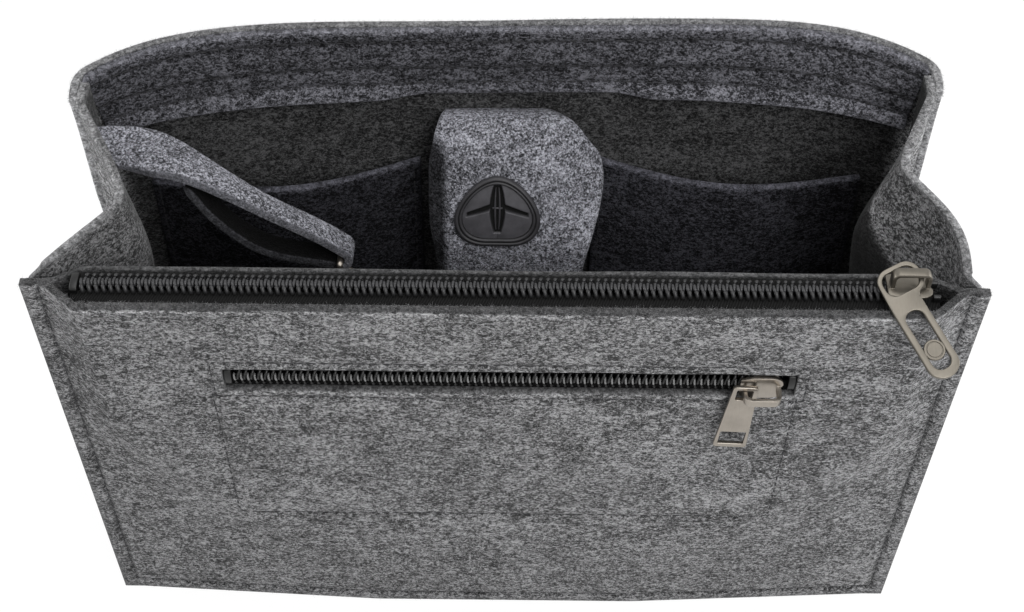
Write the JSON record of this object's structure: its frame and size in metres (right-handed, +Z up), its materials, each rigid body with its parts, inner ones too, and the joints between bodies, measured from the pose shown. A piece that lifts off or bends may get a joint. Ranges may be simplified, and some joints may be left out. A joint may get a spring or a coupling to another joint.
{
  "type": "purse organizer insert",
  "caption": "Soft felt handbag insert with an open compartment, a zipped front compartment, a zipped pocket, slip pockets, a flapped cable pouch with a rubber port, and a key strap.",
  "frame": {"origin": "middle of the base panel's underside, on the plane that the organizer stands on", "axes": "+X to the right, +Y to the rear wall, +Z up; the zipped front faces -Y"},
  "size_m": [0.26, 0.1285, 0.1696],
  "materials": {
    "felt": "heathered grey felt",
    "light_felt": "lighter heathered felt",
    "lining": "dark woven lining",
    "zip_tape": "black woven tape",
    "zip_coil": "black coil",
    "port_rubber": "satin black",
    "nickel": "warm satin nickel"
  },
  "bodies": {
    "organizer": {"front_panel": "felt", "front_inner_wall": "felt", "rear_panel": "felt", "rear_top_band": "felt", "left_gusset": "felt", "right_gusset": "felt", "base_panel": "felt", "left_slip_pocket": "felt", "right_slip_pocket": "felt", "pouch_left_side": "felt", "pouch_right_side": "felt", "pouch_front": "light_felt", "main_tape_front": "zip_tape", "main_tape_rear": "zip_tape", "pocket_tape_upper": "zip_tape", "pocket_tape_lower": "zip_tape", "main_coil_front": "zip_coil", "main_coil_rear": "zip_coil", "pocket_coil_upper": "zip_coil", "pocket_coil_lower": "zip_coil", "main_bottom_stop": "zip_coil", "main_top_stop_front": "zip_coil", "main_top_stop_rear": "zip_coil", "pocket_bottom_stop": "zip_coil", "pocket_top_stop": "zip_coil", "zip_pocket_bag": "lining"},
    "main_slider": {"main_slider": "nickel"},
    "main_pull": {"main_pull": "nickel"},
    "pocket_slider": {"pocket_slider": "nickel"},
    "pocket_pull": {"pocket_pull": "nickel"},
    "pouch_flap": {"pouch_flap": "light_felt", "cable_port": "port_rubber"},
    "key_strap": {"key_strap_upper": "light_felt", "key_strap_under": "light_felt", "d_ring": "nickel"},
    "hook_eye": {"hook_eye": "nickel"},
    "hook_body": {"hook_body": "nickel"},
    "hook_gate": {"hook_gate": "nickel"}
  },
  "joints": [
    {"name": "main_zip_slide", "type": "slide", "parent": "organizer", "child": "main_slider", "axis": [1, 0, 0], "range_m": [-0.215, 0], "deforming": ["main_coil_front", "main_coil_rear"]},
    {"name": "main_pull_swing", "type": "hinge", "parent": "main_slider", "child": "main_pull", "pos_m": [0.11055, -0.03948, 0.16688], "axis": [-1, 0, 0], "range_deg": [0, 42]},
    {"name": "pocket_zip_slide", "type": "slide", "parent": "organizer", "child": "pocket_slider", "axis": [1, 0, 0], "range_m": [-0.142, 0.001], "deforming": ["pocket_coil_upper", "pocket_coil_lower"]},
    {"name": "pocket_pull_swing", "type": "hinge", "parent": "pocket_slider", "child": "pocket_pull", "pos_m": [0.06725, -0.04948, 0.1283], "axis": [0, 1, 0], "range_deg": [-35, 85]},
    {"name": "pouch_flap_lift", "type": "hinge", "parent": "organizer", "child": "pouch_flap", "pos_m": [0.003, 0.05464, 0.136], "axis": [-1, 0, 0], "range_deg": [0, 50]},
    {"name": "key_strap_swing", "type": "hinge", "parent": "organizer", "child": "key_strap", "pos_m": [-0.11598, 0.017, 0.154], "axis": [-0.4921, 0.8706, 0], "range_deg": [-30, 20]},
    {"name": "hook_swing", "type": "hinge", "parent": "key_strap", "child": "hook_eye", "pos_m": [-0.04998, 0.00306, 0.11539], "axis": [-0.0205, 0.9569, -0.2898], "range_deg": [-35, 35]},
    {"name": "hook_swivel", "type": "hinge", "parent": "hook_eye", "child": "hook_body", "pos_m": [-0.04998, 0.00306, 0.105], "axis": [0, 0, 1], "continuous": true},
    {"name": "hook_gate_open", "type": "hinge", "parent": "hook_body", "child": "hook_gate", "pos_m": [-0.04698, 0.00312, 0.09959], "axis": [-0.0214, 0.9998, 0], "range_deg": [0, 35], "stiffness_Nm_per_rad": 0.02}
  ]
}
